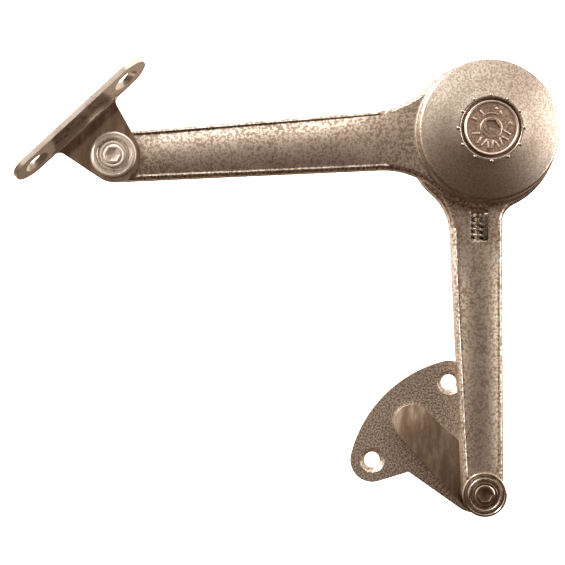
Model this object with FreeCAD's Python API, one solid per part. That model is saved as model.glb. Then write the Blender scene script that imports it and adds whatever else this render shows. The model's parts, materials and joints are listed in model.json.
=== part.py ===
"""Folding flap stay with an adjustable friction hub.

Two sheet-metal arms of nearly equal length meet at a round friction hub. The lower arm turns on a bracket
screwed to the cabinet side, and the upper arm turns in a bracket screwed to the flap. A cam on the upper arm
works a spring inside the lower arm, and a dial in the hub's cover sets how hard the friction discs are pressed.

Everything is drawn in a flat frame, X to the right, Y up and Z out from the cabinet side (the "height" of each
layer), and is then stood up, so that height becomes -Y and the flat frame's Y becomes Z. The origin is midway
between the cabinet bracket's two screw holes, on the cabinet side's face. Millimetres and degrees.
"""
import FreeCAD
import Part
import math
import os
from FreeCAD import Vector

# Overall sizes and the rest pose
LOWER_ARM_LENGTH = 99.4     # pivot to pivot
UPPER_ARM_LENGTH = 101.3
UPPER_ARM_ANGLE = 183.3     # direction of the upper arm from the hub, from +X; the lower arm stands upright
SHEET = 1.5                 # arms, brackets and cover
HOLE_SPACING = 32.0         # between the two screws of each bracket
SCREW_HOLE_R = 2.25
COUNTERSINK_R = 3.6

# Clearances
RUN = 0.05                  # radial, a part that turns or slides in another
GAP = 0.3                   # between layers that move past each other
FACE_GAP = 0.1              # between flat faces that nearly touch

# Cabinet bracket: a fan plate with a raised seat, its axis pointing up and to the left from the pivot
BRACKET_ANGLE = 135.0
HOLE_LINE = 26.56           # pivot to the line through the two holes
LOBE_R = 6.4
NOTCH_ALONG, NOTCH_HALF = 16.6, 11.0
NECK_END_R = 8.1
SEAT_HEIGHT = 10.0
SEAT_R = 6.6
RIB_END_ALONG, RIB_END_R, RIB_END_HEIGHT = 26.0, 4.8, 3.0
RIB_DRAFT = 1.2             # how much wider the rib is at its foot

# Arm sections
LOWER_DEPTH = 5.2
UPPER_DEPTH = 4.7
LOWER_END_R = 5.5
UPPER_END_R = 6.6
LOWER_HEAD_R = 20.8
UPPER_HEAD_R = 20.0
ARM_EDGE_R = 1.3            # rounding of the pressed front edges
LOWER_SIDES, LOWER_FLARES = (8.9, 5.6), (15.0, 5.5)     # left and right of the axis, at the head
UPPER_SIDES, UPPER_FLARES = (8.1, 8.0), (27.0, 22.0)    # top and bottom
WINDOW_CORNER_R = 0.6

# Cam, follower and spring
CAM_RATE = 1.7              # follower travel per radian of hub rotation
CAM_BASE_R = 10.5
CAM_LIFT = 0.2              # the cam runs just clear of the rear plate
CAM_FROM, CAM_TO = -45.0, 84.0     # hub angles that the spiral covers
CAM_STEPS = 14
SLEEVE_R = 7.0
SLEEVE_FLATS = 11.0
NOSE_REST = 15.8            # hub centre to the centre of the follower's round nose
FOLLOWER_X = -1.0           # the spring lies a little to the left of the hub's centre line
FOLLOWER_THICK = 3.2
FOLLOWER_LENGTH = 5.1
SPRING_MEAN_R = 1.75
SPRING_WIRE_R = 0.5
NOSE_R = SPRING_MEAN_R + SPRING_WIRE_R + 0.95   # the follower is wider than the spring
SPRING_PITCH = 1.63
SPRING_TURNS = 14.5
ROD_FLANGE = 1.3
ROD_REACH = 0.6             # share of the spring's length that the guide rod fills
SPRING_PLAY = 0.04          # left along the spring, so that it only just touches its seats
HOUSING_WALL = 4.5 - NOSE_R        # the housing just fits between the arm's walls
HOUSING_BACK = 0.9
HOUSING_CLEAR = 0.2
HOUSING_LIP = 1.4           # how far the cheeks reach past the slot in the rear plate
STOP_LENGTH = 3.4
STOP_PIN_R = 0.9
STOP_PIN_HEAD = 0.7
STOP_PIN_HEAD_THICK = 0.6
WINDOW_WIDTH, WINDOW_TOP, WINDOW_BOTTOM = 5.0, 20.2, 29.0

# Hub axle and friction pack
AXLE_R = 3.5
AXLE_FLATS = AXLE_R + 1.5
AXLE_PIN_R = 2.0
AXLE_PIN = 0.9              # length of the pin that centres the dial
AXLE_HEAD, AXLE_HEAD_THICK = 2.5, 1.5
BUSH_SPARE = 0.3
PLATE = 1.2                 # rear plate
REAR_PLATE_R = 19.9
CAP_DEPTH = 3.1
CAP_R = 14.6
CAP_WALL = 0.8
CAP_CHAMFER = 0.8
LINING, LINING_INSET = 0.4, 0.5
DISC = 0.7
DISC_R = 13.0
COVER_PLATE_R = 16.2
THRUST_R = 13.1
DISC_SPRING_R, DISC_SPRING_RISE, DISC_SPRING_THICK = 8.0, 0.5, 0.3
RIVET_R, RIVET_CIRCLE_R = 1.3, 17.4
RIVET_ANGLES = (35.0, 145.0, 215.0, 325.0)
RIVET_HEAD, RIVET_HEAD_THICK = 0.9, 0.7

# Hub cover and dial
COVER_BASE_R = 19.5
COVER_EDGE_R = 18.9
COVER_BEVEL = 0.6
COVER_LIP = 0.3
COVER_EDGE_HEIGHT = 5.0
COVER_RIM_HEIGHT = 7.2
LUG_CIRCLE_R, LUG_R, LUG_HEIGHT = 15.4, 2.2, 3.4
LUG_ANGLES = (90.0, 210.0, 330.0)
LUG_TOP = 0.4               # metal left over each screw's end
COVER_SCREW_R, COVER_SCREW_HEAD_R, COVER_SCREW_HEAD, COVER_SCREW_HEX = 1.0, 1.9, 1.1, 1.5
COVER_SCREW_HEX_DEPTH = 0.7
TICK_COUNT, TICK_LENGTH, TICK_WIDTH, TICK_DEPTH = 12, 1.1, 0.6, 0.5
DIAL_R = 7.3
COVER_BORE_R = DIAL_R + 0.6
DIAL_PROUD = 0.3
DIAL_CHAMFER = 0.5
DIAL_HEX, DIAL_HEX_DEPTH = 4.0, 1.3
DIAL_FLANGE, DIAL_FLANGE_THICK = 1.1, 0.8
NUT_BOSS_R = 4.9
NUT_FLANGE = 0.6
NUT_GRIP = 0.7              # length of nut inside the dial's skirt
NUT_TRAVEL = 0.42
NUT_SPARE = 0.08            # left at each end of the nut's travel

# Arm pivots
POST_R = 2.4
BUSH_R = POST_R + 1.3
HEAD_R = 6.2
HEAD_THICK = 0.95
HEAD_RECESS = 0.6           # seat of the ring and the screw's head
SOCKET_HEAD_R, SOCKET_PROUD = 3.65, 0.2
RING_BORE_R = SOCKET_HEAD_R + 0.1
RING_R, RING_PROUD = 4.7, 0.1
HEAD_GROOVE_R, HEAD_GROOVE_DEPTH = (4.95, 5.4), 0.25
SOCKET_HEX, SOCKET_DEPTH = 3.6, 0.65
SOCKET_SHANK_R = 1.5
SOCKET_NOTCH_R, SOCKET_NOTCH_WIDTH, SOCKET_NOTCH_DEPTH = 2.75, 0.5, 0.3
TAIL_R, TAIL_THICK = 4.4, 1.0
WASHER = 0.3
WASHER_R = 5.1

# Flap bracket: a plate seen edge-on with an ear turned down to the pivot
FLAP_ANGLE = 42.4           # direction of the plate, from +X
FLAP_FACE = 12.65           # pivot to the face that lies on the flap
FLAP_WIDTH = 12.0
FLAP_LENGTH = HOLE_SPACING + FLAP_WIDTH + 1.8
EAR_WIDTH = 20.4            # at the plate, before the hollow corners
EAR_EYE_R = 7.3
EAR_FILLET_R = 2.2
EAR_BEND_R = 1.2

# Layers, as heights above the cabinet side
LOWER_REAR = SEAT_HEIGHT + WASHER
LOWER_FRONT = LOWER_REAR + LOWER_DEPTH
LOWER_WEB = LOWER_FRONT - SHEET
UPPER_REAR = LOWER_FRONT + GAP
UPPER_FRONT = UPPER_REAR + UPPER_DEPTH
UPPER_WEB = UPPER_FRONT - SHEET
EAR_REAR = UPPER_FRONT + WASHER
EAR_FRONT = EAR_REAR + SHEET
FLAP_TAIL_FRONT = UPPER_REAR + 1.2  # front of the flap pivot's riveted tail, inside the upper arm
PLATE_REAR = LOWER_REAR - PLATE
CAM_REAR = LOWER_REAR + CAM_LIFT
CAM_FRONT = LOWER_WEB - GAP

# Places in the flat frame
CABINET_PIVOT = Vector(HOLE_LINE * math.cos(math.radians(BRACKET_ANGLE + 180)),
                       HOLE_LINE * math.sin(math.radians(BRACKET_ANGLE + 180)), 0)
HUB = CABINET_PIVOT + Vector(0, LOWER_ARM_LENGTH, 0)
FLAP_PIVOT = HUB + Vector(UPPER_ARM_LENGTH * math.cos(math.radians(UPPER_ARM_ANGLE)),
                          UPPER_ARM_LENGTH * math.sin(math.radians(UPPER_ARM_ANGLE)), 0)


def polar(radius, degrees, height=0.0):
    return Vector(radius * math.cos(math.radians(degrees)), radius * math.sin(math.radians(degrees)), height)


def raised(point, height):
    return Vector(point.x, point.y, height)


def cylinder(radius, low, high, centre=Vector(0, 0, 0)):
    return Part.makeCylinder(radius, high - low, raised(centre, low))


def tube(outer, inner, low, high, centre=Vector(0, 0, 0)):
    return cylinder(outer, low, high, centre).cut(cylinder(inner, low, high, centre))


def block(x0, x1, y0, y1, low, high):
    return Part.makeBox(x1 - x0, y1 - y0, high - low, Vector(x0, y0, low))


def prism(edges, low, high):
    """The outline at height 0, extruded from low to high."""
    face = Part.Face(Part.Wire(Part.__sortEdges__(edges)))
    face.translate(Vector(0, 0, low))
    return face.extrude(Vector(0, 0, high - low))


def polygon(points, low, high):
    corners = [Vector(x, y, low) for x, y in points]
    return Part.Face(Part.makePolygon(corners + corners[:1])).extrude(Vector(0, 0, high - low))


def line(a, b):
    return Part.LineSegment(a, b).toShape()


def arc(a, middle, b):
    return Part.Arc(a, middle, b).toShape()


def arc_about(centre, radius, start, end):
    """Anticlockwise arc between two directions in degrees."""
    middle = (start + end) / 2
    return arc(centre + polar(radius, start), centre + polar(radius, middle), centre + polar(radius, end))


def hexagon(across_flats, low, high, centre=Vector(0, 0, 0)):
    radius = across_flats / math.sqrt(3)
    corners = [centre + polar(radius, 60 * k) for k in range(6)]
    return polygon([(p.x, p.y) for p in corners], low, high)


def flatted(radius, across_flats, low, high):
    """A round shaft with two flats."""
    half = across_flats / 2
    return cylinder(radius, low, high).common(block(-radius, radius, -half, half, low, high))


def revolved(profile):
    """Turns a closed profile of (radius, height) points about the height axis."""
    corners = [Vector(r, 0, h) for r, h in profile]
    face = Part.Face(Part.makePolygon(corners + corners[:1]))
    return face.revolve(Vector(0, 0, 0), Vector(0, 0, 1), 360)


def at(shape, place, degrees=0.0):
    shape = shape.copy()
    shape.rotate(Vector(0, 0, 0), Vector(0, 0, 1), degrees)
    shape.translate(place)
    return shape


def save(name, shape):
    """Stands the flat drawing up against the cabinet side and writes it."""
    shape = shape.copy()
    shape.rotate(Vector(0, 0, 0), Vector(1, 0, 0), 90)
    shape.exportStep("parts/" + name + ".step")


def countersunk_hole(low, high):
    """Cutter for a screw hole whose countersink opens at the top."""
    depth = COUNTERSINK_R - SCREW_HOLE_R
    cone = Part.makeCone(SCREW_HOLE_R, COUNTERSINK_R, depth, Vector(0, 0, high - depth))
    return cylinder(SCREW_HOLE_R, low, high).fuse(cone)


def tapered_edge(end_radius, offset, along):
    """Angle of the edge that is tangent to the end circle and lies offset away from the axis at `along`."""
    return math.acos(end_radius / math.hypot(along, offset)) - math.atan2(along, offset)


def arm_outline(end_radius, head_radius, offsets, flares, length):
    """Outline of an arm lying along +X from its pivot, left and right of the axis, round head at `length`."""
    head = Vector(length, 0, 0)
    straight = length - head_radius
    starts, bends, tops = [], [], []
    for side, offset, flare in zip((1, -1), offsets, flares):
        tilt = tapered_edge(end_radius, offset, straight)
        along = Vector(math.cos(tilt), side * math.sin(tilt), 0)
        outward = Vector(-math.sin(tilt), side * math.cos(tilt), 0)
        start = outward * end_radius
        reach = (head - start).dot(outward)
        across = flare - reach
        back = math.sqrt((head_radius + flare) ** 2 - across ** 2)
        centre = head + outward * across - along * back
        low = centre - outward * flare
        high = head + (centre - head) * (head_radius / (head_radius + flare))
        middle = centre + ((low + high) * 0.5 - centre).normalize() * flare
        starts.append(start)
        bends.append((low, middle, high))
        tops.append(high)
    left, right = bends
    return [
        arc(starts[0], Vector(-end_radius, 0, 0), starts[1]),
        line(starts[0], left[0]), arc(*left),
        line(starts[1], right[0]), arc(*right),
        arc(tops[0], head + Vector(head_radius, 0, 0), tops[1]),
    ]


def channel(outline, rear, front):
    """A pressed channel: a web at the front, a wall all round, open at the back, its front edge rounded."""
    wire = Part.Wire(Part.__sortEdges__(outline))
    outer = Part.Face(wire)
    outer.translate(Vector(0, 0, rear))
    body = outer.extrude(Vector(0, 0, front - rear))
    rim = [e for e in body.Edges if all(abs(v.Z - front) < 1e-6 for v in e.Vertexes)]
    body = body.makeFillet(ARM_EDGE_R, rim)
    inner = Part.Face(wire.makeOffset2D(-SHEET))
    inner.translate(Vector(0, 0, rear))
    return body.cut(inner.extrude(Vector(0, 0, front - SHEET - rear)))


# Cabinet bracket

def bracket_plate_outline():
    """Fan plate along +X from the pivot: two lobes, an arc between them, and a neck back to the pivot."""
    half = HOLE_SPACING / 2
    tip = math.hypot(HOLE_LINE, half) + LOBE_R
    lobe_angle = math.degrees(math.atan2(half, HOLE_LINE))
    notch_distance = math.hypot(HOLE_LINE - NOTCH_ALONG, half - NOTCH_HALF)
    notch_direction = math.degrees(math.atan2(NOTCH_HALF - half, NOTCH_ALONG - HOLE_LINE))
    touch = notch_direction - math.degrees(math.acos(LOBE_R / notch_distance))
    reach = math.hypot(NOTCH_ALONG, NOTCH_HALF)
    neck = math.degrees(math.atan2(NOTCH_HALF, NOTCH_ALONG) + math.acos(NECK_END_R / reach))
    outline = [arc_about(Vector(0, 0, 0), tip, -lobe_angle, lobe_angle),
               arc_about(Vector(0, 0, 0), NECK_END_R, neck, 360 - neck)]
    for side in (1, -1):
        lobe = Vector(HOLE_LINE, side * half, 0)
        notch = Vector(NOTCH_ALONG, side * NOTCH_HALF, 0)
        first, last = side * lobe_angle, side * (touch + 360 if touch < 0 else touch)
        middle = (first + last) / 2
        outline.append(arc(lobe + polar(LOBE_R, first), lobe + polar(LOBE_R, middle), lobe + polar(LOBE_R, last)))
        outline.append(line(lobe + polar(LOBE_R, last), notch))
        outline.append(line(notch, polar(NECK_END_R, side * neck)))
    return outline


def rib_solid(shrink, top_drop):
    """The raised rib: a drafted tongue from its low round end up a ramp to the flat seat at the pivot."""
    end_r = RIB_END_R - shrink
    seat_r = SEAT_R - shrink
    lean = math.degrees(math.acos((seat_r - end_r) / RIB_END_ALONG))
    end = Vector(RIB_END_ALONG, 0, 0)

    def tongue(extra, height):
        e, s = end_r + extra, seat_r + extra
        edges = [arc_about(end, e, -lean, lean), line(end + polar(e, lean), polar(s, lean)),
                 arc_about(Vector(0, 0, 0), s, lean, 360 - lean), line(polar(s, -lean), end + polar(e, -lean))]
        wire = Part.Wire(Part.__sortEdges__(edges))
        wire.translate(Vector(0, 0, height))
        return wire

    body = Part.makeLoft([tongue(RIB_DRAFT, 0), tongue(0, SEAT_HEIGHT)], True)
    far = RIB_END_ALONG + RIB_END_R + RIB_DRAFT + 1
    ramp_top = SEAT_R + 2.0
    low, high = RIB_END_HEIGHT - top_drop, SEAT_HEIGHT - top_drop
    side = [Vector(-far, -far, 0), Vector(far, -far, 0), Vector(far, -far, low), Vector(ramp_top, -far, high),
            Vector(-far, -far, high)]
    keep = Part.Face(Part.makePolygon(side + side[:1])).extrude(Vector(0, 2 * far, 0))
    return body.common(keep)


def cabinet_bracket():
    plate = prism(bracket_plate_outline(), 0, SHEET)
    body = plate.fuse(rib_solid(0, 0)).cut(rib_solid(SHEET, SHEET))
    for side in (1, -1):
        hole = countersunk_hole(0, SHEET)
        hole.translate(Vector(HOLE_LINE, side * HOLE_SPACING / 2, 0))
        body = body.cut(hole)
    body = body.cut(cylinder(POST_R, 0, SEAT_HEIGHT))
    return at(body.removeSplitter(), CABINET_PIVOT, BRACKET_ANGLE)


# Arm pivots, drawn about the height axis with the head at the front

def pivot_post(tail_low, tail_high, tail_radius, head_low):
    front = head_low + HEAD_THICK
    inner, outer = HEAD_GROOVE_R
    post = cylinder(POST_R, tail_low, front).fuse(cylinder(tail_radius, tail_low, tail_high))
    post = post.fuse(cylinder(HEAD_R, head_low, front))
    post = post.cut(cylinder(RING_R, front - HEAD_RECESS, front)).cut(cylinder(SOCKET_SHANK_R, tail_low, front))
    return post.cut(tube(outer, inner, front - HEAD_GROOVE_DEPTH, front)).removeSplitter()


def pivot_ring(head_low):
    front = head_low + HEAD_THICK
    return tube(RING_R, RING_BORE_R, front - HEAD_RECESS, front + RING_PROUD)


def pivot_screw(tail_low, head_low):
    front = head_low + HEAD_THICK
    top = front + SOCKET_PROUD
    screw = cylinder(SOCKET_HEAD_R, front - HEAD_RECESS, top).fuse(cylinder(SOCKET_SHANK_R, tail_low, front))
    half = SOCKET_NOTCH_WIDTH / 2
    for inner, outer in ((SOCKET_NOTCH_R, SOCKET_HEAD_R), (-SOCKET_HEAD_R, -SOCKET_NOTCH_R)):
        screw = screw.cut(block(-half, half, inner, outer, top - SOCKET_NOTCH_DEPTH, top))
    return screw.cut(hexagon(SOCKET_HEX, top - SOCKET_DEPTH, top)).removeSplitter()


def make_pivot(name, place, tail, head_low, bush, washer_low):
    """One pivot: post, socket screw and locking ring of the bracket, bush of the arm, and a thin washer."""
    tail_low, tail_high, tail_radius = tail
    bush_low, bush_high = bush
    save(name + "_post", at(pivot_post(tail_low, tail_high, tail_radius, head_low), place))
    save(name + "_screw", at(pivot_screw(tail_low, head_low), place))
    save(name + "_ring", at(pivot_ring(head_low), place))
    save(name + "_bush", at(tube(BUSH_R, POST_R + RUN, bush_low, bush_high), place))
    save(name + "_washer", at(tube(WASHER_R, POST_R + RUN, washer_low, washer_low + WASHER), place))


# Arms

def lower_arm():
    outline = arm_outline(LOWER_END_R, LOWER_HEAD_R, LOWER_SIDES, LOWER_FLARES, LOWER_ARM_LENGTH)
    body = at(channel(outline, LOWER_REAR, LOWER_FRONT), CABINET_PIVOT, 90)
    body = body.cut(cylinder(BUSH_R, LOWER_WEB, LOWER_FRONT, CABINET_PIVOT))
    body = body.cut(cylinder(SLEEVE_R + GAP, LOWER_WEB, LOWER_FRONT, HUB))
    middle = HUB.x + FOLLOWER_X
    half = WINDOW_WIDTH / 2
    window = block(middle - half, middle + half, HUB.y - WINDOW_BOTTOM, HUB.y - WINDOW_TOP, LOWER_WEB, LOWER_FRONT)
    corners = [e for e in window.Edges if abs(e.Vertexes[0].Z - e.Vertexes[1].Z) > SHEET / 2]
    body = body.cut(window.makeFillet(WINDOW_CORNER_R, corners))
    for angle in RIVET_ANGLES:
        body = body.cut(cylinder(RIVET_R, LOWER_WEB, LOWER_FRONT, HUB + polar(RIVET_CIRCLE_R, angle)))
    return body


def upper_arm():
    outline = arm_outline(UPPER_END_R, UPPER_HEAD_R, UPPER_SIDES, UPPER_FLARES, UPPER_ARM_LENGTH)
    body = at(channel(outline, UPPER_REAR, UPPER_FRONT), FLAP_PIVOT, UPPER_ARM_ANGLE - 180)
    body = body.cut(cylinder(BUSH_R, UPPER_WEB, UPPER_FRONT, FLAP_PIVOT))
    body = body.cut(at(flatted(SLEEVE_R, SLEEVE_FLATS, UPPER_WEB, UPPER_FRONT), HUB))
    for angle in LUG_ANGLES:
        body = body.cut(cylinder(COVER_SCREW_R, UPPER_WEB, UPPER_FRONT, HUB + polar(LUG_CIRCLE_R, angle)))
    return body


# Cam, follower and spring, drawn about the hub

def turned(vector, angle):
    c, s = math.cos(angle), math.sin(angle)
    return Vector(c * vector.x - s * vector.y, s * vector.x + c * vector.y, 0)


def cam_point(angle):
    """Point of the cam under the follower's nose when the hub has turned by `angle` radians."""
    nose = Vector(FOLLOWER_X, -(NOSE_REST + CAM_RATE * angle), 0)
    travel = Vector(nose.y, -nose.x - CAM_RATE, 0)
    inward = Vector(-travel.y, travel.x, 0).normalize()
    if inward.dot(nose) > 0:
        inward = inward * -1
    return turned(nose + inward * (NOSE_R + FACE_GAP), -angle)


def cam_disc():
    """Spiral cam, so that the follower moves in proportion to the hub, with the sleeve that drives it."""
    step = (CAM_TO - CAM_FROM) / CAM_STEPS
    points = [cam_point(math.radians(CAM_FROM + step * k)) for k in range(CAM_STEPS + 1)]
    spiral = Part.BSplineCurve()
    spiral.interpolate(points)
    low, high = points[0], points[-1]
    low_base = Vector(low).normalize() * CAM_BASE_R
    high_base = Vector(high).normalize() * CAM_BASE_R
    opposite = (low + high).normalize() * -CAM_BASE_R
    outline = [spiral.toShape(), line(low, low_base), arc(low_base, opposite, high_base), line(high_base, high)]
    body = prism(outline, CAM_REAR, CAM_FRONT).fuse(cylinder(SLEEVE_R, CAM_REAR, UPPER_WEB))
    body = body.fuse(flatted(SLEEVE_R, SLEEVE_FLATS, UPPER_WEB, UPPER_FRONT))
    return body.cut(cylinder(hub_bush_r(), CAM_REAR, UPPER_FRONT)).removeSplitter()


def hub_bush_r():
    return (AXLE_R + SLEEVE_FLATS / 2) / 2 + BUSH_SPARE


def follower_end():
    return NOSE_REST + FOLLOWER_LENGTH


def rod_flange():
    return follower_end() + ROD_FLANGE


def spring_end():
    return rod_flange() + 2 * SPRING_WIRE_R + SPRING_TURNS * SPRING_PITCH + SPRING_PLAY


def spring_height():
    return LOWER_WEB - FACE_GAP - SPRING_MEAN_R - SPRING_WIRE_R


def housing_end():
    return spring_end() + STOP_LENGTH


def follower_middle():
    return (CAM_REAR + CAM_FRONT) / 2


def cam_follower():
    low = follower_middle() - FOLLOWER_THICK / 2
    centre = Vector(FOLLOWER_X, -NOSE_REST, 0)
    outline = [arc_about(centre, NOSE_R, 0, 180),
               line(centre + Vector(NOSE_R, 0, 0), centre + Vector(NOSE_R, -FOLLOWER_LENGTH, 0)),
               line(centre + Vector(NOSE_R, -FOLLOWER_LENGTH, 0), centre + Vector(-NOSE_R, -FOLLOWER_LENGTH, 0)),
               line(centre + Vector(-NOSE_R, -FOLLOWER_LENGTH, 0), centre + Vector(-NOSE_R, 0, 0))]
    return prism(outline, low, low + FOLLOWER_THICK)


def rod(radius, start, end):
    """A cylinder along -Y on the spring's axis, between two distances from the hub."""
    return Part.makeCylinder(radius, end - start, Vector(FOLLOWER_X, -start, spring_height()), Vector(0, -1, 0))


def spring_guide_rod():
    flange = rod(SPRING_MEAN_R + SPRING_WIRE_R - FACE_GAP, follower_end(), rod_flange())
    length = ROD_REACH * (spring_end() - rod_flange())
    return flange.fuse(rod(SPRING_MEAN_R - SPRING_WIRE_R - GAP, rod_flange(), rod_flange() + length))


def closing_spring():
    """A helix swept with a round wire, standing on the guide rod's flange."""
    height = SPRING_TURNS * SPRING_PITCH
    helix = Part.makeHelix(SPRING_PITCH, height, SPRING_MEAN_R)
    start = Vector(SPRING_MEAN_R, 0, 0)
    heading = Vector(0, 2 * math.pi * SPRING_MEAN_R, SPRING_PITCH)
    section = Part.Wire([Part.makeCircle(SPRING_WIRE_R, start, heading)])
    body = Part.Wire(helix.Edges).makePipeShell([section], True, True)
    body.rotate(Vector(0, 0, 0), Vector(1, 0, 0), 90)
    body.translate(Vector(FOLLOWER_X, -rod_flange() - SPRING_WIRE_R - SPRING_PLAY / 2, spring_height()))
    return body


def spring_housing():
    """A channel behind the lower arm's web whose cheeks guide the follower and whose back holds the spring in."""
    inner = NOSE_R + RUN
    outer = inner + HOUSING_WALL
    rear = housing_floor()
    body = None
    for x0, x1 in ((FOLLOWER_X - outer, FOLLOWER_X - inner), (FOLLOWER_X + inner, FOLLOWER_X + outer)):
        cheek = block(x0, x1, -housing_end(), -NOSE_REST - HOUSING_CLEAR, LOWER_REAR, LOWER_WEB)
        cheek = cheek.fuse(block(x0, x1, -housing_end(), -LOWER_HEAD_R, rear - HOUSING_BACK, LOWER_REAR))
        body = cheek if body is None else body.fuse(cheek)
    back = block(FOLLOWER_X - outer, FOLLOWER_X + outer, -housing_end(), -LOWER_HEAD_R, rear - HOUSING_BACK, rear)
    return body.fuse(back).cut(cylinder(STOP_PIN_R, 0, rear, stop_pin_place())).removeSplitter()


def housing_floor():
    return spring_height() - SPRING_MEAN_R - SPRING_WIRE_R - HOUSING_CLEAR


def stop_pin_place():
    return Vector(FOLLOWER_X, -spring_end() - STOP_LENGTH / 2, 0)


def spring_stop():
    low = housing_floor()
    body = block(FOLLOWER_X - NOSE_R, FOLLOWER_X + NOSE_R, -housing_end(), -spring_end(), low, LOWER_WEB)
    return body.cut(cylinder(STOP_PIN_R, low, LOWER_WEB, stop_pin_place()))


def spring_stop_pin():
    rear = housing_floor() - HOUSING_BACK
    head = cylinder(STOP_PIN_R + STOP_PIN_HEAD, rear - STOP_PIN_HEAD_THICK, rear, stop_pin_place())
    return cylinder(STOP_PIN_R, rear, LOWER_WEB, stop_pin_place()).fuse(head)


# Hub: axle, rear plate and cap, friction pack, cover and dial, drawn about the hub

def pack_heights():
    """Heights of the friction pack's layers, from the upper arm's web outwards."""
    steps = [LINING, DISC, LINING, DISC, DISC_SPRING_RISE, DISC_SPRING_RISE]
    levels = [UPPER_FRONT]
    for step in steps:
        levels.append(levels[-1] + step)
    return levels


def nut_base():
    return pack_heights()[-1] + NUT_TRAVEL + NUT_SPARE


def dial_skirt():
    return nut_base() + NUT_FLANGE + NUT_TRAVEL + NUT_SPARE


def nut_top():
    return dial_skirt() + NUT_GRIP


def dial_floor():
    return nut_top() + NUT_TRAVEL + NUT_SPARE


def dial_face():
    return UPPER_FRONT + COVER_RIM_HEIGHT + DIAL_PROUD


def hub_rear_plate():
    body = tube(REAR_PLATE_R, AXLE_R, PLATE_REAR, LOWER_REAR)
    slot = NOSE_R + RUN + HOUSING_WALL
    slot_end = -NOSE_REST - HOUSING_LIP
    body = body.cut(block(FOLLOWER_X - slot, FOLLOWER_X + slot, -LOWER_HEAD_R, slot_end, PLATE_REAR, LOWER_REAR))
    for angle in RIVET_ANGLES:
        body = body.cut(cylinder(RIVET_R, PLATE_REAR, LOWER_REAR, polar(RIVET_CIRCLE_R, angle)))
    return body


def hub_rear_cap():
    rear = PLATE_REAR - CAP_DEPTH
    inner = CAP_R - CAP_WALL
    profile = [(0, rear), (CAP_R - CAP_CHAMFER, rear), (CAP_R, rear + CAP_CHAMFER), (CAP_R, PLATE_REAR),
               (inner, PLATE_REAR), (inner, rear + CAP_WALL), (0, rear + CAP_WALL)]
    return revolved(profile)


def hub_rivets():
    rivets = []
    for angle in RIVET_ANGLES:
        place = polar(RIVET_CIRCLE_R, angle)
        body = cylinder(RIVET_R, PLATE_REAR, LOWER_FRONT, place)
        foot = raised(place, PLATE_REAR)
        head = Part.makeCone(RIVET_R + RIVET_HEAD, RIVET_R, RIVET_HEAD_THICK, foot, Vector(0, 0, -1))
        rivets.append(body.fuse(head).removeSplitter())
    return Part.makeCompound(rivets)


def hub_axle():
    round_top = UPPER_FRONT + LINING
    body = cylinder(AXLE_R, PLATE_REAR, round_top)
    body = body.fuse(cylinder(AXLE_R + AXLE_HEAD, PLATE_REAR - AXLE_HEAD_THICK, PLATE_REAR))
    body = body.fuse(flatted(AXLE_R, AXLE_FLATS, round_top, nut_top()))
    return body.fuse(cylinder(AXLE_PIN_R, nut_top(), nut_top() + AXLE_PIN)).removeSplitter()


def friction_lining(level):
    heights = pack_heights()
    return tube(DISC_R, SLEEVE_R + LINING_INSET, heights[level], heights[level + 1])


def friction_plate():
    low, high = pack_heights()[1:3]
    return cylinder(DISC_R, low, high).cut(flatted(AXLE_R, AXLE_FLATS, low, high))


def cover_plate():
    """The pack's outer plate, notched to hang on the cover's three lugs."""
    low, high = pack_heights()[3:5]
    body = tube(COVER_PLATE_R, AXLE_R + GAP, low, high)
    for angle in LUG_ANGLES:
        body = body.cut(cylinder(LUG_R, low, high, polar(LUG_CIRCLE_R, angle)))
    return body


def disc_spring(level, wide_end_first):
    low, high = pack_heights()[level:level + 2]
    inner = AXLE_R + FACE_GAP
    thick = DISC_SPRING_THICK
    if wide_end_first:
        profile = [(DISC_SPRING_R, low), (DISC_SPRING_R, low + thick), (inner, high), (inner, high - thick)]
    else:
        profile = [(inner, low), (inner, low + thick), (DISC_SPRING_R, high), (DISC_SPRING_R, high - thick)]
    return revolved(profile)


def pressure_nut():
    low = nut_base()
    body = cylinder(DISC_SPRING_R, low, low + NUT_FLANGE).fuse(cylinder(NUT_BOSS_R, low, nut_top()))
    return body.cut(flatted(AXLE_R + RUN, AXLE_FLATS + 2 * RUN, low, nut_top())).removeSplitter()


def adjusting_dial():
    skirt_top = dial_skirt() + DIAL_FLANGE_THICK
    face = dial_face()
    outer = [(0, dial_floor()), (DIAL_R, dial_floor()), (DIAL_R, face - DIAL_CHAMFER),
             (DIAL_R - DIAL_CHAMFER, face), (0, face)]
    body = revolved(outer)
    body = body.fuse(tube(DIAL_R, NUT_BOSS_R + RUN, dial_skirt(), dial_floor()))
    body = body.fuse(tube(DIAL_R + DIAL_FLANGE, NUT_BOSS_R + RUN, dial_skirt(), skirt_top))
    body = body.cut(cylinder(AXLE_PIN_R + RUN, dial_floor(), nut_top() + AXLE_PIN + FACE_GAP))
    return body.cut(hexagon(DIAL_HEX, face - DIAL_HEX_DEPTH, face)).removeSplitter()


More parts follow.
